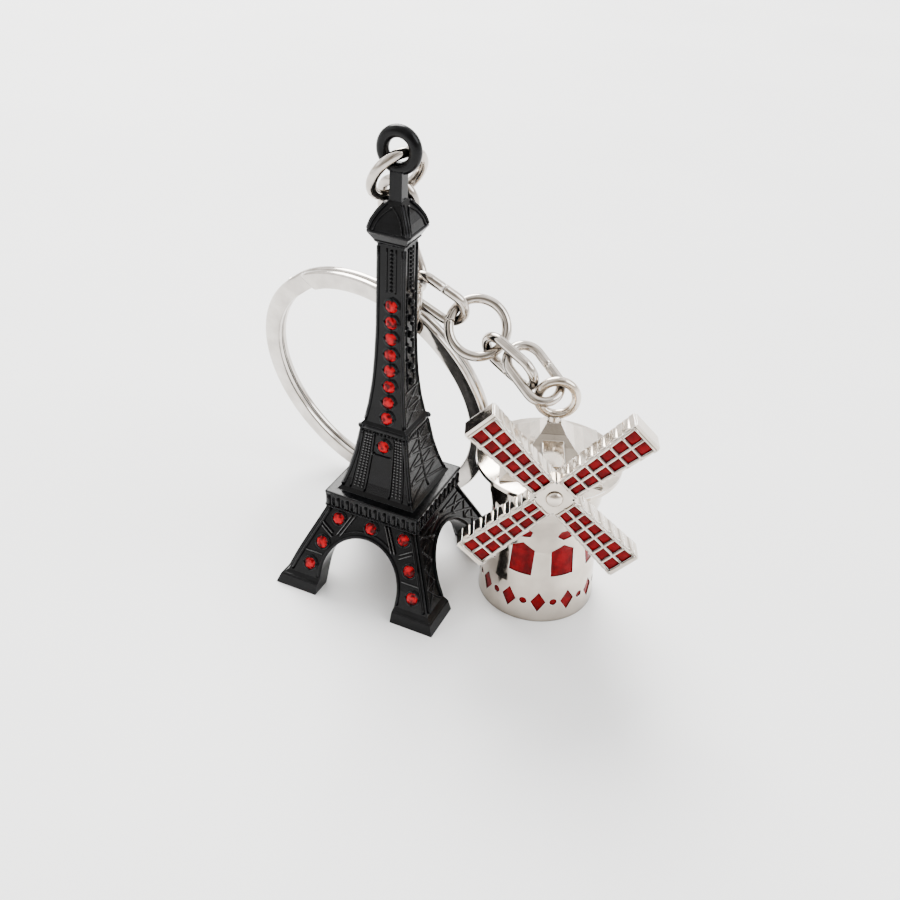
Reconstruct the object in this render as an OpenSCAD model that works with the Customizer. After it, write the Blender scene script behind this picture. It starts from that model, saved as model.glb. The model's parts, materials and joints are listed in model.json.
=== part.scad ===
// Keychain: a black tower charm and a plated windmill charm on a chain with a split ring.
// Millimetres, +Z up. The origin is the centre of the windmill's flat base.
// The tower and the windmill stand on the ground plane and the split ring leans behind the tower.

/* [Tower charm] */
// Half width across the outer edges of the feet
foot_half_w = 9.8; // [9.6:0.05:9.9]
// Half width of the platform above the arches
platform_half_w = 5.53; // [5.3:0.01:5.6]
// Half width of the mast just under the head
mast_half_w = 1.46; // [1.42:0.01:1.5]
// Radius of the arch between two legs
arch_r = 4.7; // [4.4:0.05:4.9]
// Height of the arch's springing line
arch_spring_z = 2.5; // [2.2:0.05:2.8]
// Height of the centre of the top loop
loop_z = 48.85; // [48.8:0.01:48.9]
// Radius of the top loop, to the middle of its wire
loop_r = 1.73; // [1.7:0.01:1.76]
// Radius of the top loop's wire
loop_wire_r = 0.62; // [0.58:0.01:0.63]

/* [Rhinestones] */
// Radius of a rhinestone
stone_r = 0.66; // [0.5:0.01:0.67]
// Height of a rhinestone
stone_h = 0.55; // [0.4:0.05:0.7]
// Number of rhinestones on the mast
mast_stones = 8; // [5:1:8]
// Height of the lowest mast stone
mast_stone_z = 20.9; // [20.85:0.05:21]
// Spacing of the mast stones
mast_stone_pitch = 1.82; // [1.8:0.01:1.86]

/* [Windmill charm] */
// Radius of the windmill's foot
mill_foot_r = 6.55; // [6.4:0.05:6.6]
// Radius of the brim under the roof
brim_r = 7.8; // [7.5:0.05:7.85]
// Height of the roof's tip
roof_tip_z = 22.4; // [22.2:0.05:22.5]
// Radius of the eyelet on the roof, to the middle of its wire
eyelet_r = 1.96; // [1.9:0.01:1.98]
// Height of the centre of the eyelet
eyelet_z = 24.95; // [24.9:0.01:25]
// Radius of the eyelet's wire
eyelet_wire_r = 0.5; // [0.44:0.01:0.51]
// Direction that the sails face, turned from straight ahead
mill_turn = 22; // [20:0.5:23]

/* [Sails] */
// Length of a sail from the hub's centre
sail_len = 11.2; // [10.5:0.1:11.5]
// Thickness of the sails
sail_t = 2.1; // [1.6:0.05:2.1]
// Half width of a sail at its tip
sail_tip_half_w = 1.74; // [1.6:0.02:1.84]
// Half width of a sail at the hub
sail_root_half_w = 1.14; // [1.04:0.02:1.2]
// Number of rows of enamel cells in a sail
sail_rows = 6; // [4:1:7]
// Height of the hub above the ground
hub_z = 19.8; // [19.7:0.05:19.9]

/* [Chain] */
// Radius of the wire of the links and jump rings
wire_r = 0.53; // [0.48:0.01:0.53]
// Outer length of an oval link
link_len = 7.9; // [7.88:0.01:7.92]
// Outer width of an oval link
link_w = 4.8; // [4.7:0.01:4.82]
// Radius of the tower's jump ring, to the middle of its wire
tower_ring_r = 2.8; // [2.78:0.01:2.8]
// Radius of the main jump ring, to the middle of its wire
main_ring_r = 3.05; // [3.03:0.01:3.06]

/* [Split ring] */
// Outer radius of the split ring
split_r = 16.05; // [15.9:0.05:16.05]
// Width of its flat wire
split_w = 2.17; // [2:0.01:2.17]
// Thickness of the two flat turns together
split_t = 1.64; // [1.4:0.02:1.64]

/* [Hidden] */
$fn = 64;

// Where each loose piece lies, and how it is turned about X, Y and Z
tower_at = [-16.5, -3.85, 0];
tower_ring_at = [-17.19, -2.84, 46.13];
tower_ring_turn = [61.8, 0, -118.1];
upper_link_at = [-18.05, -0.79, 41.73];
upper_link_turn = [-148.5, 72.7, 113.9];
lower_link_at = [-17.23, 0.24, 36.68];
lower_link_turn = [-21.8, 63.4, -12.8];
middle_link_at = [-14.51, 1.11, 32.16];
middle_link_turn = [-72.7, 30.1, 12.8];
ring_link_at = [-17.5, 2.18, 29.68];
ring_link_turn = [104.2, 67.5, 131.7];
main_ring_at = [-9.9, 1.85, 29.62];
main_ring_turn = [52.8, -4.3, 31.6];
split_ring_at = [-24.37, 6.18, 15.9];
split_ring_turn = [101.7, 0, -8.2];
mill_link_upper_at = [-5.63, 0.73, 27.31];
mill_link_upper_turn = [108.6, 20.4, -15.6];
mill_link_lower_at = [-2.83, 0.41, 26.85];
mill_link_lower_turn = [-162.4, 30, -22.2];

// The tower's outline: height and half width, the same on all four sides
neck_half_w = 0.66;
tower_outline = [
    [0, foot_half_w], [1.1, foot_half_w - 0.4], [1.5, 8.75], [3.36, 8.04], [4.4, 7.6], [6.5, 6.64],
    [8.35, 5.8], [9.5, 5.3], [9.5, platform_half_w], [11.6, platform_half_w], [11.6, 4.6], [12, 4.3],
    [13.1, 3.9], [14.5, 3.55], [16.3, 3.14], [18.6, 2.78], [19.05, 2.7], [19.68, 2.7],
    [19.98, 2.42], [21.8, 2.1], [23.5, 1.9], [25.2, 1.72], [28.4, 1.58], [31, 1.5],
    [39.9, mast_half_w], [40.15, 1.62], [41.15, 2.2], [41.5, 2.17], [42.3, 1.92], [43.1, 1.5],
    [43.75, 1.02], [44.15, neck_half_w], [46.9, neck_half_w]
];
outline_last = len(tower_outline) - 1;
leg_panel_t = 2.5;
hollow_top = 8;
arcade_slots = 9;
arcade_slot = [0.36, 0.25, 1.1];

// A stone's seat: a collar on the face and a blind socket
collar_r = stone_r + 0.2;
collar_h = 0.2;
socket_r = stone_r + 0.03;
socket_depth = 0.15;
leg_stones = [[4, 8.5], [5.42, 5.6], [6.4, 3]];
stone_shift = 0.25;
second_stage_stone = [[stone_shift, 17.7]];
arch_stone = [[stone_shift, 8.55]];
mast_stone_places = [for (i = [0:mast_stones - 1])
    [stone_shift, mast_stone_z + i * mast_stone_pitch]];
right_leg_stones = [for (p = leg_stones) [stone_shift + p[0], p[1]]];
left_leg_stones = [for (p = leg_stones) [stone_shift - p[0], p[1]]];
all_stones = concat(mast_stone_places, second_stage_stone, arch_stone, right_leg_stones,
    left_leg_stones);

// Windmill outline, radius and height, from the foot up to the brim
enamel_depth = 0.45;
enamel_fill = 0.33;
mill_wall = [[mill_foot_r, 0], [6.3, 4.5], [5.6, 9], [5.75, 11.5], [6.1, 13.5], [6.1, 17]];
mill_sides = 8;
window_w = 2.6;
window_z = [6.1, 9.2, 10.05];
diamond_z = 11.45;
diamond_half = [0.95, 0.72];
band_z = 2.7;
band_count = 12;
band_half = [0.85, 1.35];
band_dot_r = 0.42;
roof_outline = [[5.3, 17.5], [5.3, 18], [4.55, 18.6], [3.45, 19.4], [2.3, 20.4], [1.35, 21.4],
    [0.75, roof_tip_z]];
boss_recess = [1.3, 1.1, 0.25];
boss_w = 2.2;
boss_z = [18.3, 20.9];
boss_reach = 8;
eyelet_at = [0.05, 0.1, eyelet_z];
eyelet_turn = 22;

// Sails, in their own plane
sail_front = 10.3;
sail_tilt = -0.5;
cell_depth = 0.5;
cell_fill = 0.35;
cell_first = 1.85;
cell_pitch = (sail_len - 0.35 - cell_first) / sail_rows;
cell_gap = 0.27;
cell_wall = 0.31;
cell_rib = 0.15;
hub_r = 1.3;
axle_r = 0.45;
axle_hole_r = 0.51;
rivet_head_r = 0.85;
rivet_head_h = 0.45;

// Split ring
turn_groove = [0.14, 0.1];
split_chamfer = 0.2;

// Half width of the tower at a height, and the lean of its face there
function half_w(z) = lookup(z, tower_outline);
function face_lean(z) = atan((half_w(z - 0.4) - half_w(z + 0.4)) / 0.8);

// Half width of a sail at a distance from the hub
function sail_half_w(r) = sail_root_half_w + (sail_tip_half_w - sail_root_half_w) * r / sail_len;

module outline_2d() {
    right = [for (p = tower_outline) [p[1], p[0]]];
    left = [for (i = [outline_last:-1:0]) [-tower_outline[i][1], tower_outline[i][0]]];
    polygon(concat(right, left));
}

module arch_2d() {
    translate([0, arch_spring_z]) circle(r = arch_r);
    translate([-arch_r, -1]) square([2 * arch_r, arch_spring_z + 1]);
}

// Puts its children on the tower's front face, with +Z along the face's outward normal
module on_front(x, z) {
    translate([x, -half_w(z), z]) rotate([90 - face_lean(z), 0, 0]) children();
}

module stones(places) {
    profile = [
        [0, 0], [stone_r, 0], [stone_r, stone_h * 0.55], [stone_r * 0.55, stone_h], [0, stone_h]
    ];
    translate(tower_at)
        for (p = places)
            on_front(p[0], p[1]) translate([0, 0, -socket_depth])
                rotate_extrude() polygon(profile);
}

module tower_stack() {
    intersection() {
        rotate([90, 0, 0]) linear_extrude(height = 24, center = true) outline_2d();
        rotate([90, 0, 90]) linear_extrude(height = 24, center = true) outline_2d();
    }
}

// The hollow under the platform, which leaves each leg as two panels joined at the corner
module leg_hollow() {
    low = foot_half_w - leg_panel_t;
    high = half_w(hollow_top) - leg_panel_t;
    hull() {
        translate([-low, -low, -1]) cube([2 * low, 2 * low, 1]);
        translate([-high, -high, hollow_top - 0.01]) cube([2 * high, 2 * high, 0.01]);
    }
}

module arcade() {
    pitch = 2 * (platform_half_w - 0.4) / arcade_slots;
    for (side = [0:3])
        rotate([0, 0, 90 * side])
            for (i = [0:arcade_slots - 1])
                translate([(i - (arcade_slots - 1) / 2) * pitch - arcade_slot[0] / 2,
                    -platform_half_w - 0.1, 9.85])
                    cube([arcade_slot[0], arcade_slot[1] + 0.1, arcade_slot[2]]);
}

module tower_casting() {
    color("#17181a") translate(tower_at) {
        difference() {
            union() {
                tower_stack();
                for (p = all_stones)
                    on_front(p[0], p[1]) translate([0, 0, -0.4])
                        cylinder(r = collar_r, h = 0.4 + collar_h);
            }
            for (turn = [0, 90])
                rotate([90, 0, turn]) linear_extrude(height = 26, center = true) arch_2d();
            leg_hollow();
            for (p = all_stones)
                on_front(p[0], p[1]) translate([0, 0, -socket_depth])
                    cylinder(r = socket_r, h = 1);
            arcade();
        }
        translate([0, 0, loop_z]) rotate([90, 0, 0])
            rotate_extrude() translate([loop_r, 0]) circle(r = loop_wire_r);
    }
}

module mast_rhinestones() { color("#c4121c") stones(mast_stone_places); }
module second_stage_rhinestone() { color("#c4121c") stones(second_stage_stone); }
module left_leg_rhinestones() { color("#c4121c") stones(left_leg_stones); }
module arch_rhinestone() { color("#c4121c") stones(arch_stone); }
module right_leg_rhinestones() { color("#c4121c") stones(right_leg_stones); }

module wire_ring(r) {
    rotate_extrude() translate([r, 0]) circle(r = wire_r);
}

// Oval link with its length along X, lying in the XY plane
module oval_link() {
    bend_r = link_w / 2 - wire_r;
    straight = link_len / 2 - wire_r - bend_r;
    for (side = [0, 180])
        rotate([0, 0, side]) {
            translate([straight, 0, 0]) rotate([0, 0, -90])
                rotate_extrude(angle = 180) translate([bend_r, 0]) circle(r = wire_r);
            translate([-straight, bend_r, 0]) rotate([0, 90, 0])
                cylinder(r = wire_r, h = 2 * straight);
        }
}

module place(at, turn) {
    translate(at) rotate(turn) children();
}

module tower_jump_ring() {
    color("silver") place(tower_ring_at, tower_ring_turn) wire_ring(tower_ring_r);
}

module upper_chain_link() {
    color("silver") place(upper_link_at, upper_link_turn) oval_link();
}

module lower_chain_link() {
    color("silver") place(lower_link_at, lower_link_turn) oval_link();
}

module middle_chain_link() {
    color("silver") place(middle_link_at, middle_link_turn) oval_link();
}

module split_ring_link() {
    color("silver") place(ring_link_at, ring_link_turn) oval_link();
}

module main_jump_ring() {
    color("silver") place(main_ring_at, main_ring_turn) wire_ring(main_ring_r);
}

module windmill_link_upper() {
    color("silver") place(mill_link_upper_at, mill_link_upper_turn) oval_link();
}

module windmill_link_lower() {
    color("silver") place(mill_link_lower_at, mill_link_lower_turn) oval_link();
}

// Two flat turns pressed together, with a fine groove where they meet
module split_ring() {
    outer = split_r;
    inner = split_r - split_w;
    half_t = split_t / 2;
    half_groove = turn_groove[1] / 2;
    profile = [
        [inner, -half_t + split_chamfer], [inner + split_chamfer, -half_t],
        [outer - split_chamfer, -half_t], [outer, -half_t + split_chamfer],
        [outer, -half_groove], [outer - turn_groove[0], 0], [outer, half_groove],
        [outer, half_t - split_chamfer], [outer - split_chamfer, half_t],
        [inner + split_chamfer, half_t], [inner, half_t - split_chamfer],
        [inner, half_groove], [inner + turn_groove[0], 0], [inner, -half_groove]
    ];
    color("silver") place(split_ring_at, split_ring_turn) rotate_extrude() polygon(profile);
}

// The windmill's wall, made smaller by inset
module mill_wall_solid(inset) {
    profile = [for (p = mill_wall) [p[0] - inset, p[1]]];
    rotate_extrude() polygon(concat([[0, 0]], profile, [[0, 17]]));
}

// Cutters that reach through the wall, one for each enamel shape, made smaller by shrink
module around(count, first) {
    for (i = [0:count - 1])
        rotate([0, 0, first + i * 360 / count]) translate([0, -4.6, 0]) rotate([90, 0, 0])
            linear_extrude(height = 4) children();
}

module window_cutters(shrink) {
    half = window_w / 2 - shrink;
    around(mill_sides, mill_turn + 22.5)
        polygon([[-half, window_z[0] + shrink], [half, window_z[0] + shrink],
            [half, window_z[1]], [0, window_z[2] - shrink], [-half, window_z[1]]]);
}

module diamond_cutters(shrink) {
    dx = diamond_half[0] - shrink;
    dz = diamond_half[1] - shrink;
    around(mill_sides, mill_turn + 22.5)
        polygon([[-dx, diamond_z - dz * 0.2], [-dx * 0.2, diamond_z - dz],
            [dx * 0.8, diamond_z - dz * 0.6], [dx, diamond_z + dz * 0.4],
            [dx * 0.35, diamond_z + dz], [-dx * 0.65, diamond_z + dz * 0.75]]);
}

module band_cutters(shrink) {
    dx = band_half[0] - shrink;
    dz = band_half[1] - shrink;
    around(band_count, mill_turn)
        polygon([[-dx, band_z], [0, band_z - dz], [dx, band_z], [0, band_z + dz]]);
    around(band_count, mill_turn + 180 / band_count)
        translate([0, band_z]) circle(r = band_dot_r - shrink);
}

// A round brim under a four-sided roof that steepens towards the tip
module roof() {
    rotate_extrude()
        polygon([[0, 16.8], [brim_r, 17.1], [brim_r, 17.6], [5.2, 18.2], [3.4, 19], [2.2, 20],
            [1.3, 21], [0.7, roof_tip_z], [0.6, roof_tip_z + 0.5], [0, roof_tip_z + 0.5]]);
    rotate([0, 0, mill_turn])
        intersection() {
            rotate([90, 0, 0]) linear_extrude(height = 16, center = true) roof_2d();
            rotate([90, 0, 90]) linear_extrude(height = 16, center = true) roof_2d();
        }
}

module roof_2d() {
    left = [for (i = [len(roof_outline) - 1:-1:0]) [-roof_outline[i][0], roof_outline[i][1]]];
    polygon(concat(roof_outline, left));
}

module windmill_body() {
    color("silver") {
        difference() {
            union() {
                difference() {
                    mill_wall_solid(0);
                    window_cutters(0);
                    diamond_cutters(0);
                    band_cutters(0);
                }
                mill_wall_solid(enamel_depth);
                roof();
                rotate([0, 0, mill_turn]) translate([-boss_w / 2, -boss_reach, boss_z[0]])
                    cube([boss_w, boss_reach - 1, boss_z[1] - boss_z[0]]);
            }
            rotate([0, 0, mill_turn]) {
                translate([0, -boss_reach + 1.4, hub_z]) rotate([90, 0, 0])
                    cylinder(r = axle_r + 0.01, h = 2);
                translate([-boss_recess[0] / 2, -boss_reach + 0.5, boss_z[1] - boss_recess[2]])
                    cube([boss_recess[0], boss_recess[1], 1]);
            }
        }
        translate(eyelet_at) rotate([90, 0, eyelet_turn])
            rotate_extrude() translate([eyelet_r, 0]) circle(r = eyelet_wire_r);
    }
}

module wall_enamel() {
    intersection() {
        difference() {
            mill_wall_solid(enamel_depth - enamel_fill);
            mill_wall_solid(enamel_depth);
        }
        children();
    }
}

module pentagon_window_enamel() { color("#b01018") wall_enamel() window_cutters(0.02); }
module diamond_window_enamel() { color("#b01018") wall_enamel() diamond_cutters(0.02); }
module band_enamel() { color("#b01018") wall_enamel() band_cutters(0.02); }

// Puts its children in the plane of the sails, with the hub's front at the origin
module on_sails() {
    rotate([0, 0, mill_turn]) translate([0, -sail_front, hub_z]) rotate([90, 0, 0]) children();
}

module arm_2d() {
    polygon([[0, -sail_root_half_w], [sail_len, -sail_tip_half_w], [sail_len, sail_tip_half_w],
        [0, sail_root_half_w]]);
    for (i = [0:sail_rows]) {
        r = cell_first + i * cell_pitch - cell_gap / 2;
        half = sail_half_w(r) + 0.12;
        translate([r - 0.3, -half]) square([0.6, 2 * half]);
    }
}

// The cells of one arm: two columns of sail_rows cells, made smaller by shrink
module cells_2d(shrink) {
    for (i = [0:sail_rows - 1], side = [-1, 1]) {
        r0 = cell_first + i * cell_pitch + shrink;
        r1 = cell_first + (i + 1) * cell_pitch - cell_gap - shrink;
        inner = cell_rib + shrink;
        polygon([[r0, side * inner], [r1, side * inner],
            [r1, side * (sail_half_w(r1) - cell_wall - shrink)],
            [r0, side * (sail_half_w(r0) - cell_wall - shrink)]]);
    }
}

module all_arms_2d() {
    for (k = [0:3]) rotate(45 + sail_tilt + 90 * k) arm_2d();
    circle(r = hub_r);
}

module windmill_sails() {
    color("silver") on_sails() difference() {
        union() {
            translate([0, 0, -sail_t]) linear_extrude(height = sail_t - cell_depth) all_arms_2d();
            translate([0, 0, -cell_depth]) linear_extrude(height = cell_depth)
                difference() {
                    all_arms_2d();
                    for (k = [0:3]) rotate(45 + sail_tilt + 90 * k) cells_2d(0);
                }
        }
        translate([0, 0, -sail_t - 1]) cylinder(r = axle_hole_r, h = sail_t + 2);
    }
}

module sail_enamel(k) {
    color("#b01018") on_sails() translate([0, 0, -cell_depth])
        linear_extrude(height = cell_fill) rotate(45 + sail_tilt + 90 * k) cells_2d(0.02);
}

module sail_enamel_upper_right() { sail_enamel(0); }
module sail_enamel_upper_left() { sail_enamel(1); }
module sail_enamel_lower_left() { sail_enamel(2); }
module sail_enamel_lower_right() { sail_enamel(3); }

// Shank through the hub into the boss, with a low domed head in front of the sails
module hub_rivet() {
    shank = sail_front - boss_reach + 1.2;
    head = [
        [0, -shank], [axle_r, -shank], [axle_r, 0.06], [rivet_head_r, 0.06],
        [rivet_head_r * 0.85, 0.06 + rivet_head_h * 0.6],
        [rivet_head_r * 0.45, 0.06 + rivet_head_h], [0, 0.06 + rivet_head_h]
    ];
    color("silver") on_sails() rotate_extrude() polygon(head);
}

tower_casting();
mast_rhinestones();
second_stage_rhinestone();
left_leg_rhinestones();
arch_rhinestone();
right_leg_rhinestones();
tower_jump_ring();
upper_chain_link();
lower_chain_link();
middle_chain_link();
split_ring_link();
main_jump_ring();
split_ring();
windmill_link_upper();
windmill_link_lower();
windmill_body();
windmill_sails();
hub_rivet();
sail_enamel_upper_right();
sail_enamel_upper_left();
sail_enamel_lower_left();
sail_enamel_lower_right();
pentagon_window_enamel();
diamond_window_enamel();
band_enamel();
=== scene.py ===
"""A charm keychain: a black tower, a plated windmill, links and a flat split ring."""
import json
import math

import bmesh
import bpy
import numpy as np
from mathutils import Matrix, Vector
from mathutils.bvhtree import BVHTree


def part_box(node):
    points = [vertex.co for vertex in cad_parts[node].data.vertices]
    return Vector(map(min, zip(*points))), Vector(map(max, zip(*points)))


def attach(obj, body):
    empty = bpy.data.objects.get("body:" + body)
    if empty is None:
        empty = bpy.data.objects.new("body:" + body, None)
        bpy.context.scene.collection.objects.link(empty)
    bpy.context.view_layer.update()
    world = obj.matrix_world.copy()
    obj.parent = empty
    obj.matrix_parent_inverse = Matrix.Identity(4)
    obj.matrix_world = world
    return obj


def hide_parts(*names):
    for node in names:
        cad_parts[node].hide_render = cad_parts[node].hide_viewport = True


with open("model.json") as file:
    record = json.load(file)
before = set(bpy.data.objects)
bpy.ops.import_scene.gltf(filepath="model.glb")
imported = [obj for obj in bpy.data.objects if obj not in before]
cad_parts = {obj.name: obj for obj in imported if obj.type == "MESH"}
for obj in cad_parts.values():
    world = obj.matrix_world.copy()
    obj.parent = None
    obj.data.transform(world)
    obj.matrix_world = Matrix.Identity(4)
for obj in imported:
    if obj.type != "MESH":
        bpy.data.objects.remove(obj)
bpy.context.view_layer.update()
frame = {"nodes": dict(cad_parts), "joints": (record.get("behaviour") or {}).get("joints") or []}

MM = 0.001
NODES = frame["nodes"]


# ---------------------------------------------------------------- materials

# Samples for rounded edges and painted edge highlights, and for the painted shade in corners
EDGE_SAMPLES = 8
CREVICE_SAMPLES = 6
# Share of its brightness that plating keeps under painted shade: in deep corners, and near the
# ground
CREVICE_SHADE = 0.16
GROUND_SHADE = 0.62
# Height at which the painted shade towards the ground ends
GROUND_SHADE_TOP = 3.2 * MM


def node(tree, kind, **values):
    """One shader node, with its named inputs set."""
    n = tree.nodes.new(kind)
    for key, value in values.items():
        n.inputs[key.replace("_", " ")].default_value = value
    return n


def noise(tree, scale, detail=3.0, stretch=(1, 1, 1)):
    """Noise in the piece's own coordinates; scale is in waves per metre."""
    coord = tree.nodes.new("ShaderNodeTexCoord")
    mapping = tree.nodes.new("ShaderNodeMapping")
    mapping.inputs["Scale"].default_value = stretch
    tree.links.new(coord.outputs["Object"], mapping.inputs["Vector"])
    tex = node(tree, "ShaderNodeTexNoise", Scale=scale, Detail=detail)
    tree.links.new(mapping.outputs["Vector"], tex.inputs["Vector"])
    return tex.outputs["Fac"]


def ramp(tree, source, low, high, start=0.35, end=0.65):
    """Maps a 0 to 1 value to a range of colours or greys."""
    r = tree.nodes.new("ShaderNodeValToRGB")
    r.color_ramp.elements[0].position = start
    r.color_ramp.elements[1].position = end
    r.color_ramp.elements[0].color = low
    r.color_ramp.elements[1].color = high
    tree.links.new(source, r.inputs["Fac"])
    return r.outputs["Color"]


def grey(value):
    """An opaque grey."""
    return (value, value, value, 1)


def new_material(name):
    """A node material, its node tree and its shader."""
    material = bpy.data.materials.new(name)
    material.use_nodes = True
    tree = material.node_tree
    shader = tree.nodes["Principled BSDF"]
    return material, tree, shader


def soft_edges(tree, shader, radius, height, distance, strength):
    """Rounds the shading of sharp edges and adds a fine bump on top."""
    bevel = tree.nodes.new("ShaderNodeBevel")
    bevel.samples = EDGE_SAMPLES
    bevel.inputs["Radius"].default_value = radius
    bump = node(tree, "ShaderNodeBump", Strength=strength, Distance=distance)
    tree.links.new(height, bump.inputs["Height"])
    tree.links.new(bevel.outputs["Normal"], bump.inputs["Normal"])
    tree.links.new(bump.outputs["Normal"], shader.inputs["Normal"])


def edge_mask(tree, radius, start, end):
    """1 on sharp edges and 0 on flat faces."""
    bevel = tree.nodes.new("ShaderNodeBevel")
    bevel.samples = EDGE_SAMPLES
    bevel.inputs["Radius"].default_value = radius
    flat = tree.nodes.new("ShaderNodeNewGeometry")
    dot = tree.nodes.new("ShaderNodeVectorMath")
    dot.operation = "DOT_PRODUCT"
    tree.links.new(bevel.outputs["Normal"], dot.inputs[0])
    tree.links.new(flat.outputs["Normal"], dot.inputs[1])
    return ramp(tree, dot.outputs["Value"], grey(1), grey(0), start, end)


def painted_crevice_shade(tree, reach, floor_value):
    """Painted shade: dark in corners and narrow gaps, 1 on open faces."""
    shade = tree.nodes.new("ShaderNodeAmbientOcclusion")
    shade.samples = CREVICE_SAMPLES
    shade.inputs["Distance"].default_value = reach
    return ramp(tree, shade.outputs["AO"], grey(floor_value), grey(1), start=0.25, end=0.85)


def painted_ground_shade(tree, top, floor_value):
    """Painted shade: darker towards the ground, and 1 above a height."""
    coord = tree.nodes.new("ShaderNodeTexCoord")
    split = tree.nodes.new("ShaderNodeSeparateXYZ")
    tree.links.new(coord.outputs["Object"], split.inputs[0])
    share = tree.nodes.new("ShaderNodeMath")
    share.operation = "DIVIDE"
    share.use_clamp = True
    share.inputs[1].default_value = top
    tree.links.new(split.outputs["Z"], share.inputs[0])
    return ramp(tree, share.outputs[0], grey(floor_value), grey(1), start=0.0, end=1.0)


def multiply(tree, a, b):
    """Product of two colours."""
    mix = tree.nodes.new("ShaderNodeMix")
    mix.data_type = "RGBA"
    mix.blend_type = "MULTIPLY"
    mix.inputs[0].default_value = 1.0
    tree.links.new(a, mix.inputs[6])
    tree.links.new(b, mix.inputs[7])
    return mix.outputs[2]


def blend(tree, factor, low, high):
    """Mixes two colours; either can be a fixed colour or another node's output."""
    mix = tree.nodes.new("ShaderNodeMix")
    mix.data_type = "RGBA"
    tree.links.new(factor, mix.inputs[0])
    for socket, value in ((mix.inputs[6], low), (mix.inputs[7], high)):
        if isinstance(value, tuple):
            socket.default_value = value
        else:
            tree.links.new(value, socket)
    return mix.outputs[2]


def black_paint(name, painted_highlight_colour, specular):
    """Gloss black paint in thick and thin patches, its edges paler with painted highlights."""
    material, tree, shader = new_material(name)
    thick = (0.0008, 0.0009, 0.0011, 1)
    thin = (0.0028, 0.003, 0.0036, 1)
    patches = ramp(tree, noise(tree, 900), thick, thin)
    # The edges are painted paler in colour, as painted highlights.
    painted_highlight_mask = edge_mask(tree, radius=0.06 * MM, start=0.8, end=0.97)
    colour = blend(tree, painted_highlight_mask, patches, painted_highlight_colour)
    tree.links.new(colour, shader.inputs["Base Color"])
    rough = ramp(tree, noise(tree, 2500), grey(0.14), grey(0.24))
    tree.links.new(rough, shader.inputs["Roughness"])
    shader.inputs["Specular IOR Level"].default_value = specular
    grain = noise(tree, 6000, 2)
    soft_edges(tree, shader, radius=0.1 * MM, height=grain, distance=0.02 * MM, strength=0.2)
    return material


def plated(name, colour, dark, rough, edge, reach):
    """Clouded, finely scratched plating, with painted edge highlights and painted corner and ground
    shade.
    """
    material, tree, shader = new_material(name)
    cloud = ramp(tree, noise(tree, 420), dark, colour, start=0.25, end=0.7)
    # The edges are painted near white in colour, as painted highlights.
    edge_glint_mask = edge_mask(tree, radius=edge * 1.2, start=0.8, end=0.99)
    painted_edge_glint = (0.95, 0.94, 0.92, 1)
    bright = blend(tree, edge_glint_mask, cloud, painted_edge_glint)
    # Corners and narrow gaps are painted darker, as painted shade.
    shaded = multiply(tree, bright, painted_crevice_shade(tree, reach, CREVICE_SHADE))
    # The plating is painted darker towards the ground, as painted shade.
    ground_shaded = multiply(tree, shaded, painted_ground_shade(tree, GROUND_SHADE_TOP, GROUND_SHADE))
    tree.links.new(ground_shaded, shader.inputs["Base Color"])
    shader.inputs["Metallic"].default_value = 1.0
    spread = ramp(tree, noise(tree, 1600, 5), grey(rough * 0.7), grey(rough * 1.5))
    tree.links.new(spread, shader.inputs["Roughness"])
    scratches = noise(tree, 2600, 4, (1, 7, 0.6))
    soft_edges(tree, shader, radius=edge, height=scratches, distance=0.02 * MM, strength=0.1)
    return material


def red_enamel():
    """Deep red enamel, darker in some places than in others, with a gently uneven surface."""
    material, tree, shader = new_material("red_enamel")
    deep = (0.09, 0.0, 0.0015, 1)
    vivid = (0.2, 0.0, 0.003, 1)
    depth = ramp(tree, noise(tree, 1100, 4), deep, vivid)
    tree.links.new(depth, shader.inputs["Base Color"])
    rough = ramp(tree, noise(tree, 3000), grey(0.08), grey(0.2))
    tree.links.new(rough, shader.inputs["Roughness"])
    shader.inputs["Specular IOR Level"].default_value = 0.07
    waves = noise(tree, 1300, 2)
    soft_edges(tree, shader, radius=0.16 * MM, height=waves, distance=0.12 * MM, strength=0.4)
    return material


def red_glass():
    """Foil-backed red glass, deep in some places and vivid in others, with a faint painted glow."""
    material, tree, shader = new_material("red_glass")
    deep = (0.05, 0.0, 0.001, 1)
    vivid = (0.38, 0.0, 0.005, 1)
    red_and_painted_glow = ramp(tree, noise(tree, 1700, 2), deep, vivid, start=0.4, end=0.58)
    tree.links.new(red_and_painted_glow, shader.inputs["Base Color"])
    # The glass is painted with a faint glow of its own colour, though it is no lamp.
    tree.links.new(red_and_painted_glow, shader.inputs["Emission Color"])
    shader.inputs["Emission Strength"].default_value = 0.25
    rough = ramp(tree, noise(tree, 4000), grey(0.05), grey(0.12))
    tree.links.new(rough, shader.inputs["Roughness"])
    shader.inputs["Specular IOR Level"].default_value = 0.13
    bump = node(tree, "ShaderNodeBump", Strength=0.05, Distance=0.02 * MM)
    tree.links.new(noise(tree, 5000), bump.inputs["Height"])
    tree.links.new(bump.outputs["Normal"], shader.inputs["Normal"])
    return material


def studio_floor():
    """Plain pale floor."""
    material, tree, shader = new_material("studio_floor")
    tint = ramp(tree, noise(tree, 14), grey(0.88), grey(0.92))
    tree.links.new(tint, shader.inputs["Base Color"])
    shader.inputs["Roughness"].default_value = 0.6
    bump = node(tree, "ShaderNodeBump", Strength=0.06, Distance=0.2 * MM)
    tree.links.new(noise(tree, 1500), bump.inputs["Height"])
    tree.links.new(bump.outputs["Normal"], shader.inputs["Normal"])
    return material


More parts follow.
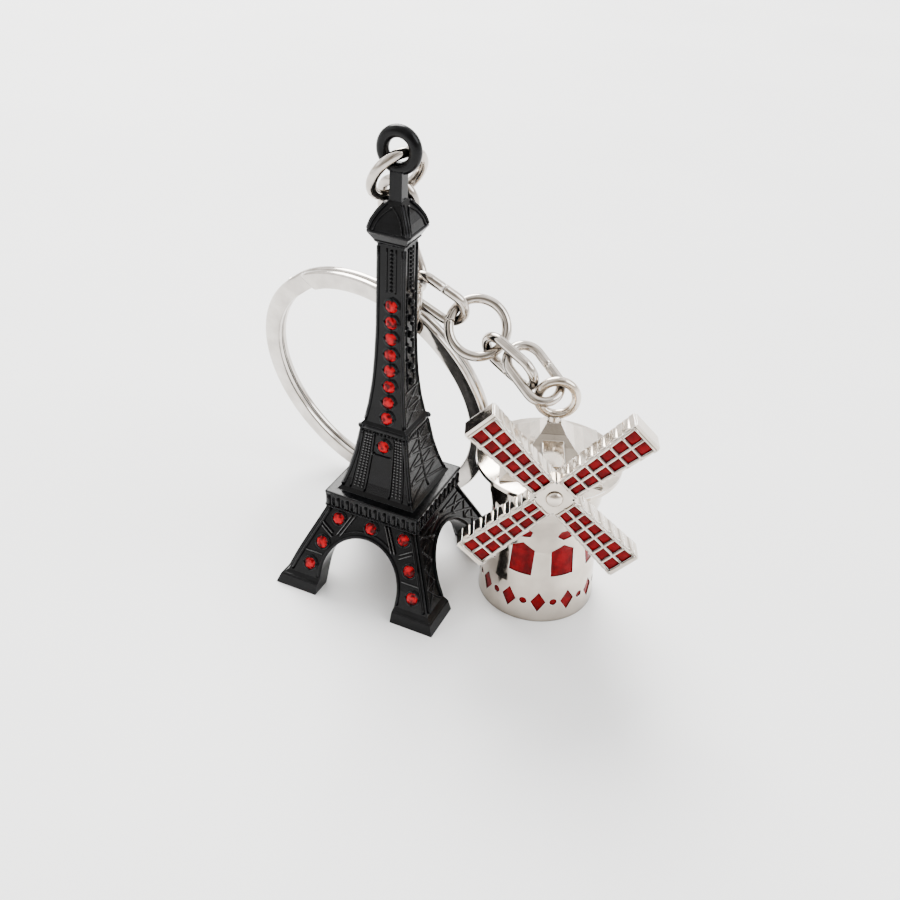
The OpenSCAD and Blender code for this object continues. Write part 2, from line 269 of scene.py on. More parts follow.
# Both paints have painted highlights on their edges: faint on the first, strong on the second.
PAINT = black_paint("black_paint", painted_highlight_colour=(0.07, 0.073, 0.08, 1), specular=0.14)
EDGE_LIT_PAINT = black_paint("black_paint_lit_edges", painted_highlight_colour=(0.7, 0.72, 0.75, 1), specular=0.8)
PLATE = plated("bright_plate", colour=(0.68, 0.61, 0.53, 1), dark=(0.5, 0.445, 0.38, 1),
               rough=0.1, edge=0.09 * MM, reach=0.6 * MM)
CHAIN = plated("nickel_wire", colour=(0.62, 0.57, 0.515, 1), dark=(0.36, 0.325, 0.29, 1),
               rough=0.09, edge=0.05 * MM, reach=0.8 * MM)
FLAT_RING = plated("ring_nickel", colour=(0.67, 0.63, 0.585, 1), dark=(0.44, 0.405, 0.37, 1),
                   rough=0.1, edge=0.05 * MM, reach=1.2 * MM)
ENAMEL = red_enamel()
GLASS = red_glass()


# ---------------------------------------------------------------- mesh tools

def finish_piece(name, bm, material, body, smooth=True):
    """Turns a bmesh into a piece that rides on a body."""
    bmesh.ops.recalc_face_normals(bm, faces=bm.faces)
    mesh = bpy.data.meshes.new(name)
    bm.to_mesh(mesh)
    bm.free()
    for polygon in mesh.polygons:
        polygon.use_smooth = smooth
    mesh.materials.append(material)
    piece = bpy.data.objects.new(name, mesh)
    bpy.context.scene.collection.objects.link(piece)
    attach(piece, body)
    return piece


def skin_rings(bm, rings, closed):
    """Joins rings of points into a tube, open with end caps or closed on itself."""
    verts = [[bm.verts.new(p) for p in ring] for ring in rings]
    count = len(rings[0])
    last = len(verts) if closed else len(verts) - 1
    for i in range(last):
        a = verts[i]
        b = verts[(i + 1) % len(verts)]
        for k in range(count):
            bm.faces.new((a[k], a[(k + 1) % count], b[(k + 1) % count], b[k]))
    if not closed:
        bm.faces.new(list(reversed(verts[0])))
        bm.faces.new(verts[-1])


def bead(bm, centre, radius):
    """A small cast bead."""
    bmesh.ops.create_icosphere(bm, subdivisions=2, radius=radius,
                               matrix=Matrix.Translation(centre))


# Outline of a raised bar: shares of its width and of its height, from one foot to the other
BAR_SECTION = ((-0.5, -0.5), (-0.5, 0.45), (-0.3, 0.85), (0, 1), (0.3, 0.85), (0.5, 0.45),
               (0.5, -0.5))


def bar(bm, points, normals, width, height):
    """A raised rounded bar along points on a surface."""
    rings = []
    for i, (point, normal) in enumerate(zip(points, normals)):
        before = points[max(i - 1, 0)]
        after = points[min(i + 1, len(points) - 1)]
        side = (after - before).normalized().cross(normal)
        rings.append([point + side * (a * width) + normal * (b * height)
                      for a, b in BAR_SECTION])
    skin_rings(bm, rings, closed=False)


def merged(node_name):
    """A bmesh of a CAD node with its split vertices joined."""
    bm = bmesh.new()
    bm.from_mesh(NODES[node_name].data)
    bmesh.ops.remove_doubles(bm, verts=bm.verts, dist=0.002 * MM)
    return bm


def islands(bm):
    """The separate solids of a bmesh, each a list of faces, in the order of the mesh."""
    left = set(bm.faces)
    found = []
    for seed in bm.faces:
        if seed not in left:
            continue
        left.remove(seed)
        stack = [seed]
        group = []
        while stack:
            face = stack.pop()
            group.append(face)
            for vert in face.verts:
                for other in vert.link_faces:
                    if other in left:
                        left.remove(other)
                        stack.append(other)
        found.append(group)
    return found


def corners_of(faces):
    """The vertices of some faces, each one once and in a fixed order."""
    return list(dict.fromkeys(vert for face in faces for vert in face.verts))


def planar_frame(node_name):
    """Centre, two in-plane axes, normal and half sizes of a flat ring or link."""
    points = np.array([v.co for v in NODES[node_name].data.vertices])
    centre = points.mean(0)
    axes = np.linalg.svd(points - centre, full_matrices=False)[2]
    spread = (points - centre) @ axes.T
    low = spread.min(0)
    high = spread.max(0)
    centre = centre + ((low + high) / 2) @ axes
    half = (high - low) / 2
    return Vector(centre), Vector(axes[0]), Vector(axes[1]), Vector(axes[2]), half


# ---------------------------------------------------------------- wire pieces

# Width of the cut in a wire, and the share of the wire's radius left at the rounded cut ends
CUT = 0.05 * MM
CUT_END = 0.93
# How close to an end the extra value lies, as a share of a step
NEAR_END = 0.12
TUBE_SIDES = 20
RING_STEPS = 96
BEND_STEPS = 24


def tube_along(bm, points, normal, radius):
    """An open tube in one plane, its two cut ends slightly rounded."""
    rings = []
    count = len(points)
    for i, point in enumerate(points):
        tangent = (points[min(i + 1, count - 1)] - points[max(i - 1, 0)]).normalized()
        side = tangent.cross(normal)
        r = radius * (CUT_END if i in (0, count - 1) else 1)
        rings.append([point + side * (r * math.cos(t)) + normal * (r * math.sin(t))
                      for t in [2 * math.pi * k / TUBE_SIDES for k in range(TUBE_SIDES)]])
    skin_rings(bm, rings, closed=False)


def end_spaced(start, stop, count):
    """Values from start to stop, with one extra close to each end."""
    values = [start + (stop - start) * i / count for i in range(count + 1)]
    near = (stop - start) / count * NEAR_END
    return [start, start + near] + values[1:-1] + [stop - near, stop]


def jump_ring(name, cut_angle):
    """A round wire ring, closed but with its cut showing."""
    centre, a, b, normal, half = planar_frame(name)
    wire = half[2]
    radius = half[0] - wire
    gap = CUT / radius / 2
    turn = math.radians(cut_angle)
    points = [centre + a * (radius * math.cos(t)) + b * (radius * math.sin(t))
              for t in end_spaced(turn + gap, turn + 2 * math.pi - gap, RING_STEPS)]
    bm = bmesh.new()
    tube_along(bm, points, normal, wire)
    piece = finish_piece(name + "_wire", bm, CHAIN, name)
    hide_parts(name)


def oval_link(name):
    """An oval wire link with its butt joint in the middle of one long side."""
    centre, a, b, normal, half = planar_frame(name)
    wire = half[2]
    bend = half[1] - wire
    straight = half[0] - wire - bend
    arc = [math.pi * i / BEND_STEPS for i in range(BEND_STEPS + 1)]
    flat = [Vector((x, bend, 0)) for x in end_spaced(-CUT / 2, -straight, 4)]
    left = [Vector((-straight - bend * math.sin(t), bend * math.cos(t), 0)) for t in arc]
    lower = [Vector((straight * s, -bend, 0)) for s in (-0.5, 0, 0.5)]
    right = [Vector((straight + bend * math.sin(t), -bend * math.cos(t), 0)) for t in arc]
    back = [Vector((x, bend, 0)) for x in end_spaced(straight, CUT / 2, 4)]
    path = flat[:-1] + left + lower + right + back[1:]
    points = [centre + a * p.x + b * p.y for p in path]
    bm = bmesh.new()
    tube_along(bm, points, normal, wire)
    piece = finish_piece(name + "_wire", bm, CHAIN, name)
    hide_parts(name)


# Split ring, in degrees: where its front turn starts, the stretch over which it changes turns,
# the gap at its end, and how far in from an end the cut still slants
SPLIT_START = 117
SPLIT_BEND = 9
SPLIT_GAP = 3.5
SPLIT_SLANT = 4
# How far its free end is lifted, the width of its flat wire, and the share of that width by which
# the cut leans
SPLIT_LIFT = 0.12 * MM
SPLIT_WIDTH = 2.17 * MM
SPLIT_LEAN = 0.5
# Share of the depth of one turn that is wire, and the share of its outline left at the cut ends
SPLIT_FILL = 0.985 * 0.985
SPLIT_END = 0.94
SPLIT_STEPS = 360


def flat_section(width, thick):
    """Outline of a flat wire with rounded edges, as pairs across and through."""
    outline = []
    corner = thick * 0.36
    for cx, cy, first in ((1, 1, 0), (-1, 1, 90), (-1, -1, 180), (1, -1, 270)):
        for k in range(5):
            t = math.radians(first + 22.5 * k)
            x = cx * (width / 2 - corner) + corner * math.cos(t)
            y = cy * (thick / 2 - corner) + corner * math.sin(t)
            outline.append((x, y))
    return outline


def split_ring():
    """Two turns of flat wire; the front one dips behind its start, which is lifted and slanted."""
    centre, a, b, normal, half = planar_frame("split_ring")
    front = normal if normal.y < 0 else -normal
    up = (Vector((0, 0, 1)) - front * front.z).normalized()
    right = up.cross(front)
    radius = half[0] - SPLIT_WIDTH / 2
    section = flat_section(SPLIT_WIDTH, half[2] * SPLIT_FILL)
    start = SPLIT_START
    stop = start - 720 + SPLIT_BEND + SPLIT_GAP
    rings = []
    for degrees in end_spaced(start, stop, SPLIT_STEPS):
        turned = start - degrees
        dip = min(max((turned - 360 + SPLIT_BEND + SPLIT_GAP) / SPLIT_BEND, 0), 1)
        eased = dip * dip * (3 - 2 * dip)
        offset = half[2] / 2 * (1 - 2 * eased)
        offset += SPLIT_LIFT * max(0, 1 - turned / SPLIT_BEND)
        t = math.radians(degrees)
        out = right * math.cos(t) + up * math.sin(t)
        middle = centre + out * radius + front * offset
        along = right * -math.sin(t) + up * math.cos(t)
        slant = max(0, 1 - min(turned, start - stop - turned) / SPLIT_SLANT)
        shrink = SPLIT_END if degrees in (start, stop) else 1
        rings.append([middle + out * (x * shrink) + front * (y * shrink)
                      + along * (x * slant * SPLIT_LEAN) for x, y in section])
    bm = bmesh.new()
    skin_rings(bm, rings, closed=False)
    piece = finish_piece("split_ring_coil", bm, FLAT_RING, "split_ring")
    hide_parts("split_ring")


# ---------------------------------------------------------------- tower trim

class TowerSkin:
    """Finds points on the four faces of the tower casting."""

    def __init__(self):
        mesh = NODES["tower_casting"].data
        self.tree = BVHTree.FromPolygons([v.co for v in mesh.vertices],
                                         [p.vertices for p in mesh.polygons])
        low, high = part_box("tower_casting")
        self.centre = Vector(((low.x + high.x) / 2, (low.y + high.y) / 2, 0))
        self.reach = 30 * MM

    def hit(self, side, x, z):
        """Point and outward normal on a face; x and z are in mm, side 0 is the front.

        A ray that goes on past the tower's middle has found the far side, so it counts as a miss.
        """
        turn = Matrix.Rotation(math.radians(90 * side), 3, "Z")
        origin = self.centre + turn @ Vector((x * MM, -self.reach, z * MM))
        point, normal, _, _ = self.tree.ray_cast(origin, turn @ Vector((0, 1, 0)))
        if point is None:
            return None
        if (point - origin).length > self.reach + MM:
            return None
        return point, normal

    def half(self, z):
        """Half width of the tower at a height, in mm, read on the back and beside the arch."""
        x = 0.5
        if z < 9.5:
            x = 4.9
        if z < 7.4:
            x = 5.6
        found = self.hit(2, x, z)
        return (found[0] - self.centre).y / MM

    def line(self, bm, side, path, width, height, step=0.45):
        """A raised bar that follows the face along a path of x, z points."""
        samples = []
        for (x0, z0), (x1, z1) in zip(path, path[1:]):
            count = max(1, round(math.hypot(x1 - x0, z1 - z0) / step))
            samples += [(x0 + (x1 - x0) * i / count, z0 + (z1 - z0) * i / count)
                        for i in range(count)]
        samples.append(path[-1])
        found = [self.hit(side, x, z) for x, z in samples]
        found = [f for f in found if f is not None]
        if len(found) > 1:
            upright = sum((f[1] for f in found), Vector()).normalized()
            bar(bm, [f[0] for f in found], [upright] * len(found), width * MM, height * MM)

    def dot(self, bm, side, x, z, radius):
        """One cast bead, sunk into the face."""
        found = self.hit(side, x, z)
        if found:
            bead(bm, found[0] + found[1] * (radius * 0.3 * MM), radius * MM)

    def dots(self, bm, side, path, count, radius):
        """A row of two or more cast beads along a straight path."""
        (x0, z0), (x1, z1) = path
        for i in range(count):
            f = i / (count - 1)
            self.dot(bm, side, x0 + (x1 - x0) * f, z0 + (z1 - z0) * f, radius)


SKIN = TowerSkin()
SIDES = range(4)
HANDS = (-1, 1)
# All of the tower's trim is given in mm. First the radius and height of the arch between the legs
ARCH_R = 4.7
ARCH_Z = 2.5
# Where the bars of the legs, of the second stage and of the mast begin and end
LEG_FOOT = 1.75
STAGE_FOOT = 12.1
STAGE_TOP = 18.9
MAST_FOOT = 20.1
MAST_TOP = 39.6
# Pillars between the slots of the platform's arcade, and their spacing
PILLARS = 10
PILLAR_PITCH = 1.14
# Spacing of the mast's stones, shared by the bosses on its other faces
STONE_PITCH = 1.82


def arc_points(radius, first, last, count=26):
    """Points on a circle round the arch's centre, in mm."""
    return [(radius * math.cos(math.radians(first + (last - first) * i / count)),
             ARCH_Z + radius * math.sin(math.radians(first + (last - first) * i / count)))
            for i in range(count + 1)]


def arch_x(radius, z):
    """Half width of an arch line at a height."""
    return math.sqrt(max(radius ** 2 - (z - ARCH_Z) ** 2, 0))


def lattice(bm, side, levels, inner, outer, width, height):
    """Crossed diagonals between two edge lines, with a bar at each level."""
    for low, high in zip(levels, levels[1:]):
        SKIN.line(bm, side, [(inner(low), low), (outer(high), high)], width, height)
        SKIN.line(bm, side, [(outer(low), low), (inner(high), high)], width, height)
        SKIN.line(bm, side, [(inner(high), high), (outer(high), high)], width, height)


def edge_bars(bm, side, heights, inset, width, height, step=0.45):
    """A bar up both side edges of a face, set in from the corner."""
    for hand in HANDS:
        edge = [(hand * (SKIN.half(z) - inset), z) for z in heights]
        SKIN.line(bm, side, edge, width, height, step)


def leg_trim(bm, side):
    """Edge bars and double arch rib of one face of the legs, with lattice except in front."""
    edge_bars(bm, side, [LEG_FOOT, 3.5, 5.2, 6.8, 8.1, 9.3], inset=0.42, width=0.3, height=0.28)
    foot = 1.7
    spring = ARCH_R + 0.25
    rib = [(spring, foot)] + arc_points(ARCH_R + 0.22, 4, 176) + [(-spring, foot)]
    SKIN.line(bm, side, rib, width=0.34, height=0.22)
    SKIN.line(bm, side, arc_points(ARCH_R + 0.72, 58, 122), width=0.22, height=0.16)
    if side == 0:
        return
    for hand in HANDS:
        lattice(bm, side, [LEG_FOOT, 3.9, 5.8, 7.4, 8.6],
                inner=lambda z: hand * max(arch_x(ARCH_R + 0.7, z), 0.4),
                outer=lambda z: hand * (SKIN.half(z) - 0.7), width=0.26, height=0.13)


def front_bracing(bm, side):
    """Bars between the stones of the two front legs."""
    if side != 0:
        return
    pair = (0, 0.42)
    for hand in HANDS:
        for shift in pair:
            inner = [(hand * (1.8 + shift), 9.35), (hand * (3.2 + shift), 6.75)]
            outer = [(hand * 4.15, 6.45 + shift), (hand * 5.6, 7.3 + shift)]
            SKIN.line(bm, side, inner, width=0.2, height=0.3)
            SKIN.line(bm, side, outer, width=0.2, height=0.3)
        SKIN.line(bm, side, [(hand * 4.9, 4.32), (hand * 7.3, 4.32)], width=0.18, height=0.16)


def front_beading(bm, side):
    """Three rows of beads either side of the panel on the front of the second stage."""
    if side != 0:
        return
    for hand in HANDS:
        for low, high in ((1.85, 1.45), (2.3, 1.75), (2.75, 2.05)):
            row = [(hand * low + 0.1, 12.5), (hand * high + 0.15, 18.7)]
            SKIN.dots(bm, side, row, count=20, radius=0.14)


def platform_trim(bm, side):
    """Rails, beads and pillars of the platform."""
    for z, width, height in ((11.45, 0.3, 0.13), (9.68, 0.16, 0.1)):
        SKIN.line(bm, side, [(-5.5, z), (5.5, z)], width, height, step=1.2)
    SKIN.dots(bm, side, [(-5.35, 9.66), (5.35, 9.66)], count=30, radius=0.16)
    for i in range(PILLARS):
        x = (i - (PILLARS - 1) / 2) * PILLAR_PITCH
        SKIN.line(bm, side, [(x, 9.8), (x, 10.95)], width=0.34, height=0.2)


def panel(bm, side):
    """Frame of the panel round the second stage's stone, with its outer border bars."""
    for hand in HANDS:
        frame_bar = [(hand * 1.5 + 0.1, STAGE_FOOT), (hand * 1.15 + 0.2, STAGE_TOP)]
        border = [(hand * 3.15, STAGE_FOOT), (hand * 2.3, STAGE_TOP)]
        SKIN.line(bm, side, frame_bar, width=0.22, height=0.22)
        SKIN.line(bm, side, border, width=0.18, height=0.16)
        SKIN.dot(bm, side, hand * 1.12 + 0.2, 16.55, radius=0.2)
    SKIN.line(bm, side, [(-1.1, 16.5), (1.5, 16.5)], width=0.2, height=0.2)


def second_stage_trim(bm, side):
    """Edge bars and top rail of the stage above the platform, and a panel or lattice between."""
    edge_bars(bm, side, (STAGE_FOOT, 14, 16, STAGE_TOP), inset=0.2, width=0.36, height=0.16)
    if side == 0:
        panel(bm, side)
    else:
        lattice(bm, side, [12.2, 13.9, 15.5, 17.1, 18.8], inner=lambda z: -(SKIN.half(z) - 0.35),
                outer=lambda z: SKIN.half(z) - 0.35, width=0.26, height=0.08)
        SKIN.line(bm, side, [(0, 12.2), (0, 18.8)], width=0.3, height=0.12)
    SKIN.line(bm, side, [(-2.68, 19.36), (2.68, 19.36)], width=0.5, height=0.14, step=1.0)
    SKIN.dots(bm, side, [(-2.45, 18.85), (2.45, 18.85)], count=12, radius=0.15)
    for hand in HANDS:
        SKIN.dot(bm, side, hand * 2.62, 19.4, radius=0.26)


def bead_strip(bm, side, x, half_width, foot, count, radius):
    """A row of beads high on the mast between two thin bars; foot is where the bars begin."""
    SKIN.dots(bm, side, [(x, foot + 0.2), (x, 39.4)], count, radius)
    for hand in HANDS:
        bar_x = x + hand * half_width
        SKIN.line(bm, side, [(bar_x, foot), (bar_x, MAST_TOP)], width=0.16, height=0.12)


def mast_trim(bm, side):
    """Edge bars and bead strip of the mast, with lattice and blank bosses except in front."""
    heights = (MAST_FOOT, 22, 24, 27, 30, 34, MAST_TOP)
    edge_bars(bm, side, heights, inset=0.16, width=0.28, height=0.15, step=0.9)
    if side == 0:
        bead_strip(bm, side, x=0.1, half_width=0.5, foot=35.0, count=11, radius=0.17)
        return
    levels = [20.2 + STONE_PITCH * i for i in range(3)]
    lattice(bm, side, levels, inner=lambda z: -(SKIN.half(z) - 0.3),
            outer=lambda z: SKIN.half(z) - 0.3, width=0.24, height=0.09)
    for i in range(6):
        z = 24.7 + STONE_PITCH * i
        SKIN.dot(bm, side, 0, z, radius=0.38)
        for hand in HANDS:
            SKIN.dot(bm, side, hand * 0.6, z + STONE_PITCH / 2, radius=0.2)
            beside = [(hand * 0.75, z - 0.6), (hand * 0.75, z + 0.6)]
            SKIN.line(bm, side, beside, width=0.16, height=0.12)
    bead_strip(bm, side, x=0, half_width=0.52, foot=35.2, count=10, radius=0.19)


def head_trim(bm, side):
    """Corner ribs, a pointed arch on the face and a rail round the eaves of the head."""
    SKIN.line(bm, side, [(-2.1, 41.3), (2.1, 41.3)], width=0.3, height=0.14, step=0.5)
    SKIN.line(bm, side, [(-1.62, 40.25), (1.62, 40.25)], width=0.2, height=0.1, step=0.6)
    levels = (41.45, 41.8, 42.3, 42.7, 43.1, 43.5, 43.9)
    edge_bars(bm, side, levels, inset=0.12, width=0.3, height=0.24, step=0.3)
    arch = [(-1.55, 41.5), (-1.45, 42.0), (-1.15, 42.6), (-0.7, 43.15), (0, 43.65)]
    arch += [(-x, z) for x, z in reversed(arch[:-1])]
    SKIN.line(bm, side, arch, width=0.2, height=0.16, step=0.3)


def foot_trim(bm, side):
    """A low plinth line round each foot."""
    for hand in HANDS:
        SKIN.line(bm, side, [(hand * 4.9, 1.22), (hand * 9.2, 1.22)], width=0.16, height=0.08)


def tower_trim():
    """Every piece of raised work on the tower, each built face by face."""
    parts = {
        "tower_front_bracing": front_bracing,
        "tower_front_beading": front_beading,
        "tower_leg_lattice": leg_trim,
        "tower_platform_rails": platform_trim,
        "tower_second_stage_lattice": second_stage_trim,
        "tower_mast_lattice": mast_trim,
        "tower_head_ribs": head_trim,
        "tower_foot_plinths": foot_trim,
    }
    for name, build in parts.items():
        bm = bmesh.new()
        for side in SIDES:
            build(bm, side)
        # The front bracing and beading get the paint with strong painted edge highlights.
        paint = EDGE_LIT_PAINT if name.startswith("tower_front") else PAINT
        finish_piece(name, bm, paint, "tower")


# ---------------------------------------------------------------- rhinestones

STONE_NODES = ("mast_rhinestones", "second_stage_rhinestone", "left_leg_rhinestones",
               "arch_rhinestone", "right_leg_rhinestones")


def stone_seats(node_name):
    """Back centre, outward axis and radius of each stone in a node."""
    bm = merged(node_name)
    seats = []
    for faces in islands(bm):
        areas = {}
        for face in faces:
            key = tuple(round(c, 1) for c in face.normal)
            areas.setdefault(key, []).append(face)
        back = max(areas.values(), key=lambda group: sum(f.calc_area() for f in group))
        verts = corners_of(back)
        centre = sum((v.co for v in verts), Vector()) / len(verts)
        radius = max((v.co - centre).length for v in verts)
        axis = -sum((f.normal * f.calc_area() for f in back), Vector()).normalized()
        seats.append((centre, axis, radius))
    bm.free()
    return seats


def cut_stone(bm, centre, axis, radius):
    """A brilliant-cut crown over a straight girdle."""
    across = axis.orthogonal().normalized()
    other = axis.cross(across)
    # Each ring: share of the radius, height as a share of the radius, points, first angle
    rings = ((1.0, 0.0, 16, 0), (1.0, 0.42, 16, 0), (0.83, 0.68, 8, 22.5), (0.56, 0.86, 8, 0))
    made = []
    for share, rise, count, first in rings:
        for k in range(count):
            t = math.radians(first + 360 * k / count)
            p = centre + axis * (radius * rise)
            p += (across * math.cos(t) + other * math.sin(t)) * (radius * share)
            made.append(bm.verts.new(p))
    bmesh.ops.convex_hull(bm, input=made)


# A cut stone nearly fills its socket, which leaves 0.03 mm of play round the plain stone
STONE_FIT = 1.04
# Prongs: distance outside the plain stone, height above its back, and radius
PRONG_OUT = 0.1 * MM
PRONG_RISE = 0.36 * MM
PRONG_R = 0.15 * MM


def rhinestones():
    """The cut stones, and four small prongs round each."""
    prongs = bmesh.new()
    for name in STONE_NODES:
        bm = bmesh.new()
        for centre, axis, radius in stone_seats(name):
            cut_stone(bm, centre, axis, radius * STONE_FIT)
            across = axis.orthogonal().normalized()
            for k in range(4):
                t = math.radians(45 + 90 * k)
                out = across * math.cos(t) + axis.cross(across) * math.sin(t)
                bead(prongs, centre + out * (radius + PRONG_OUT) + axis * PRONG_RISE, PRONG_R)
        piece = finish_piece(name + "_cut", bm, GLASS, "tower", smooth=False)
        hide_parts(name)
    finish_piece("stone_settings", prongs, PAINT, "tower")


# ---------------------------------------------------------------- windmill

SPIN = next(j for j in frame["joints"] if j["name"] == "sails_spin")
HUB = Vector(SPIN["pos_m"])
OUT = Vector(SPIN["axis"]).normalized()
RIGHT = Vector((0, 0, 1)).cross(-OUT).normalized()
UP = Vector((0, 0, 1))


def sail_cells(name):
    """Corners of each enamel cell of one sail, in the sails' plane: across and up."""
    bm = merged(name)
    cells = []
    for faces in islands(bm):
        cells.append([((v.co - HUB).dot(RIGHT), (v.co - HUB).dot(UP)) for v in corners_of(faces)])
    bm.free()
    return cells


def on_sail(direction, along, across, out):
    """A point on a sail: distances along it, across it and out from the front plane."""
    d = RIGHT * direction[0] + UP * direction[1]
    w = RIGHT * -direction[1] + UP * direction[0]
    return HUB + d * along + w * across + OUT * out


def sail_bars(bm, direction, rows, half_root, half_tip, length):
    """Rounded ribs between the cells and rounded rails along both sides."""
    def half(r):
        return half_root + (half_tip - half_root) * r / length

    def run(a, b, width, height):
        points = [on_sail(direction, a[0] + (b[0] - a[0]) * i / 6, a[1] + (b[1] - a[1]) * i / 6, 0)
                  for i in range(7)]
        bar(bm, points, [OUT] * 7, width, height)

    first = rows[0][0] - 0.3 * MM
    last = rows[-1][1] + 0.2 * MM
    run((first, 0), (last, 0), width=0.24 * MM, height=0.12 * MM)
    for hand in HANDS:
        edge = 0.15 * MM
        run((first, hand * (half(first) - edge)), (last, hand * (half(last) - edge)),
            width=0.26 * MM, height=0.1 * MM)
    gaps = [(a[1] + b[0]) / 2 for a, b in zip(rows, rows[1:])]
    for r in [rows[0][0] - 0.12 * MM] + gaps + [rows[-1][1] + 0.18 * MM]:
        reach = half(r) - 0.05 * MM
        run((r, -reach), (r, reach), width=0.24 * MM, height=0.2 * MM)
    for low, high in rows:
        for hand in HANDS:
            sail_scallop(bm, direction, (low + high) / 2, (high - low) * 0.5, hand,
                         half((low + high) / 2))


def sail_scallop(bm, direction, middle, reach, hand, half):
    """A rounded bulge on a sail's side wall, one for each row of cells."""
    bulge = 0.22 * MM
    overlap = 0.06 * MM
    # Each layer: distance out from the front plane in mm, and share of the bulge
    layers = ((-2.08, 0.6), (-1.98, 0.9), (-1.8, 1), (-0.4, 1), (-0.15, 0.85), (-0.03, 0.5))
    steps = 14
    rings = []
    for out, grow in layers:
        ring = []
        for k in range(steps + 1):
            t = math.pi * k / steps
            along = middle - reach * math.cos(t)
            across = hand * (half - overlap + (bulge + overlap) * grow * math.sin(t))
            ring.append(on_sail(direction, along, across, out * MM))
        rings.append(ring)
    skin_rings(bm, rings, closed=False)


SAIL_NODES = ("sail_enamel_upper_right", "sail_enamel_upper_left", "sail_enamel_lower_left",
              "sail_enamel_lower_right")
# The sails' metal: half width at the root, length, and width outside the outer cells
SAIL_ROOT = 1.14 * MM
SAIL_LENGTH = 11.2 * MM
SAIL_WALL = 0.33 * MM


def sails():
    """Ribs, rails and scalloped walls of the four sails."""
    bm = bmesh.new()
    for name in SAIL_NODES:
        cells = sail_cells(name)
        corners = [c for cell in cells for c in cell]
        middle = Vector(np.mean(corners, axis=0)).normalized()
        rows = {}
        for cell in cells:
            along = [c[0] * middle.x + c[1] * middle.y for c in cell]
            rows[round(min(along) / MM, 1)] = (min(along), max(along))
        ordered = [rows[key] for key in sorted(rows)]
        wide = max(abs(-c[0] * middle.y + c[1] * middle.x) for c in corners) + SAIL_WALL
        tip = SAIL_ROOT + (wide - SAIL_ROOT) * SAIL_LENGTH / ordered[-1][1]
        sail_bars(bm, middle, ordered, SAIL_ROOT, tip, SAIL_LENGTH)
    finish_piece("sail_ribs", bm, PLATE, "sails")


def turned(bm, profile, sides=40):
    """A round piece on the sails' axle from pairs of radius and distance out, in mm."""
    rings = []
    for radius, out in profile:
        middle = OUT * (out * MM)
        rings.append([HUB + (RIGHT * math.cos(t) + UP * math.sin(t)) * (radius * MM) + middle
                      for t in [2 * math.pi * k / sides for k in range(sides)]])
    skin_rings(bm, rings, closed=False)


def rivet():
    """The domed head of the rivet that holds the sails."""
    profile = ((0.85, 0.05), (0.84, 0.14), (0.77, 0.27), (0.64, 0.39), (0.46, 0.48), (0.27, 0.525),
               (0.1, 0.54))
    bm = bmesh.new()
    turned(bm, profile)
    finish_piece("rivet_head", bm, PLATE, "windmill")


def domed_enamel(name):
    """The enamel of one sail, swelling a little in the middle of each cell."""
    bm = merged(name)
    bmesh.ops.dissolve_limit(bm, angle_limit=0.02, verts=bm.verts, edges=bm.edges)
    # Two steps in from the rim, in mm: how far in, and how much higher
    for thickness, depth in ((0.11, 0.05), (0.14, 0.03)):
        bm.normal_update()
        fronts = [f for f in bm.faces if f.normal.dot(OUT) > 0.99]
        bmesh.ops.inset_individual(bm, faces=fronts, thickness=thickness * MM, depth=depth * MM)
    piece = finish_piece(name + "_domes", bm, ENAMEL, "sails")
    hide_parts(name)


# ---------------------------------------------------------------- CAD finishes

def paint_nodes():
    """Materials for the CAD nodes that stay visible."""
    finishes = {
        "tower_casting": PAINT,
        "windmill_body": PLATE,
        "windmill_sails": PLATE,
        "hub_rivet": PLATE,
        "pentagon_window_enamel": ENAMEL,
        "diamond_window_enamel": ENAMEL,
        "band_enamel": ENAMEL,
    }
    for name, material in finishes.items():
        slots = NODES[name].material_slots
        if not slots:
            NODES[name].data.materials.append(material)
        for s in slots:
            s.material = material


# ---------------------------------------------------------------- studio

def area_light(name, place, target, size, power, colour):
    """A round soft light that faces a target."""
    data = bpy.data.lights.new(name, "AREA")
    data.shape = "DISK"
    data.size = size
    data.energy = power
    data.color = colour
    light = bpy.data.objects.new(name, data)
    light.location = place
    light.rotation_euler = (target - Vector(place)).to_track_quat("-Z", "Y").to_euler()
    bpy.context.scene.collection.objects.link(light)


def lay_floor():
    """The floor, which is no part of the object."""
    floor = bmesh.new()
    bmesh.ops.create_grid(floor, x_segments=24, y_segments=24, size=2.5)
    mesh = bpy.data.meshes.new("studio_floor")
    floor.to_mesh(mesh)
    floor.free()
    mesh.materials.append(studio_floor())
    ground = bpy.data.objects.new("studio_floor", mesh)
    bpy.context.scene.collection.objects.link(ground)


def lights():
    """Soft daylight from the back left, and a weaker light from the right."""
    target = Vector((-0.005, 0, 0.02))
    area_light("window", (-0.5, 0.55, 0.75), target, size=0.7, power=28.0, colour=(1.0, 0.99, 0.97))
    area_light("fill", (0.65, 0.1, 0.6), target, size=0.6, power=6.0, colour=(0.94, 0.97, 1.0))


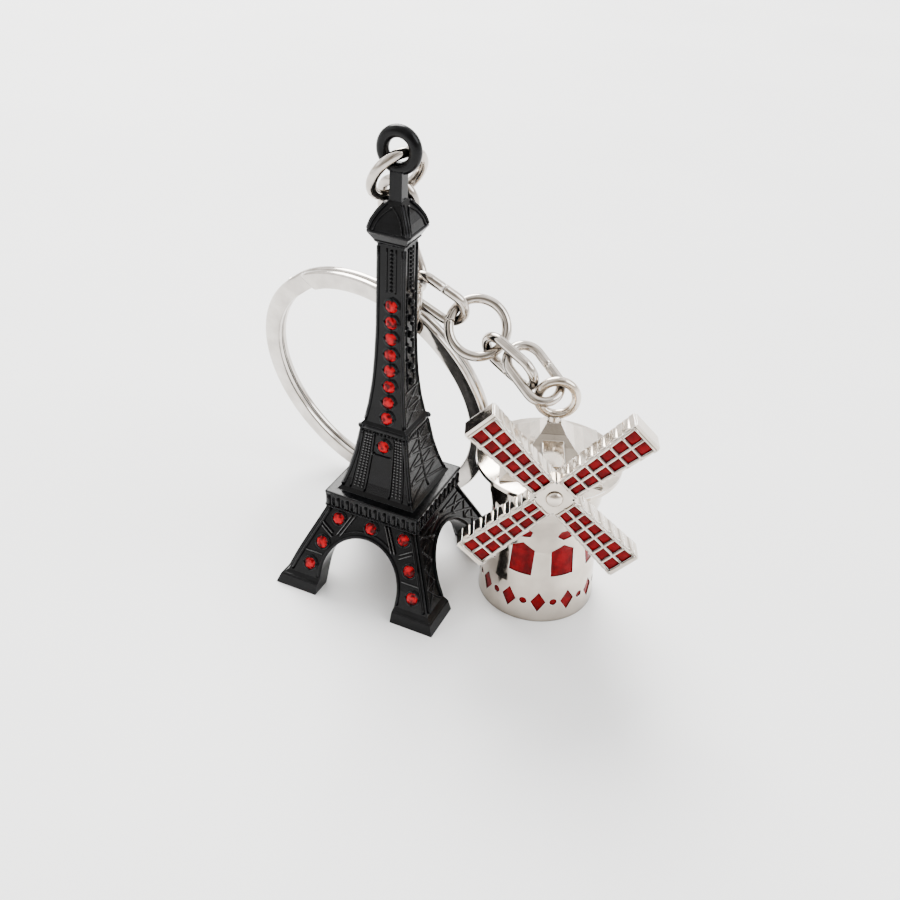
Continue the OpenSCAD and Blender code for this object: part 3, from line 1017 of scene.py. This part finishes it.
def surroundings():
    """A pale room: dim towards the camera, with a darker low wall and soft shapes overhead."""
    world = bpy.data.worlds.new("studio_world")
    bpy.context.scene.world = world
    world.use_nodes = True
    tree = world.node_tree
    coord = tree.nodes.new("ShaderNodeTexCoord")
    dot = tree.nodes.new("ShaderNodeVectorMath")
    dot.operation = "DOT_PRODUCT"
    towards_camera = (0.3, -0.75, 0.59)
    dot.inputs[1].default_value = towards_camera
    tree.links.new(coord.outputs["Generated"], dot.inputs[0])
    dim = (0.26, 0.245, 0.225, 1)
    shade = ramp(tree, dot.outputs["Value"], grey(1), dim, start=0.35, end=0.98)
    height = tree.nodes.new("ShaderNodeSeparateXYZ")
    tree.links.new(coord.outputs["Generated"], height.inputs[0])
    wall_top = (0.5, 0.48, 0.46, 1)
    low_wall = ramp(tree, height.outputs["Z"], grey(0.85), wall_top, start=0.1, end=0.2)
    above = ramp(tree, height.outputs["Z"], grey(0), grey(1), start=0.3, end=0.5)
    wall = blend(tree, above, low_wall, grey(1))
    clutter = node(tree, "ShaderNodeTexNoise", Scale=2.4, Detail=1.0)
    tree.links.new(coord.outputs["Generated"], clutter.inputs["Vector"])
    blobs = ramp(tree, clutter.outputs["Fac"], grey(0.3), grey(1), start=0.42, end=0.52)
    patches = blend(tree, above, grey(1), blobs)
    background = tree.nodes["Background"]
    tree.links.new(multiply(tree, multiply(tree, shade, wall), patches), background.inputs["Color"])
    background.inputs["Strength"].default_value = 3.1


def camera():
    """The view: a little to the right of the front, looking down at the charms."""
    # Fitted to the photograph and rounded
    place = Vector((26.6, -88.6, 80.7)) * MM
    forward = Vector((-0.3263, 0.7582, -0.5645)).normalized()
    upward = Vector((-0.2709, 0.4972, 0.8243))
    right = forward.cross(upward).normalized()
    upward = right.cross(forward)
    data = bpy.data.cameras.new("camera")
    data.lens = 42.0
    data.sensor_width = 36.0
    data.clip_start = 0.005
    view = bpy.data.objects.new("camera", data)
    axes = Matrix((right, upward, -forward)).transposed()
    view.matrix_world = Matrix.Translation(place) @ axes.to_4x4()
    bpy.context.scene.collection.objects.link(view)
    bpy.context.scene.camera = view


camera()
lay_floor()
lights()
surroundings()
paint_nodes()
jump_ring("tower_jump_ring", cut_angle=250)
jump_ring("main_jump_ring", cut_angle=200)
for link in ("upper_chain_link", "lower_chain_link", "middle_chain_link", "split_ring_link",
             "windmill_link_upper", "windmill_link_lower"):
    oval_link(link)
split_ring()
tower_trim()
rhinestones()
sails()
rivet()
for sail in SAIL_NODES:
    domed_enamel(sail)
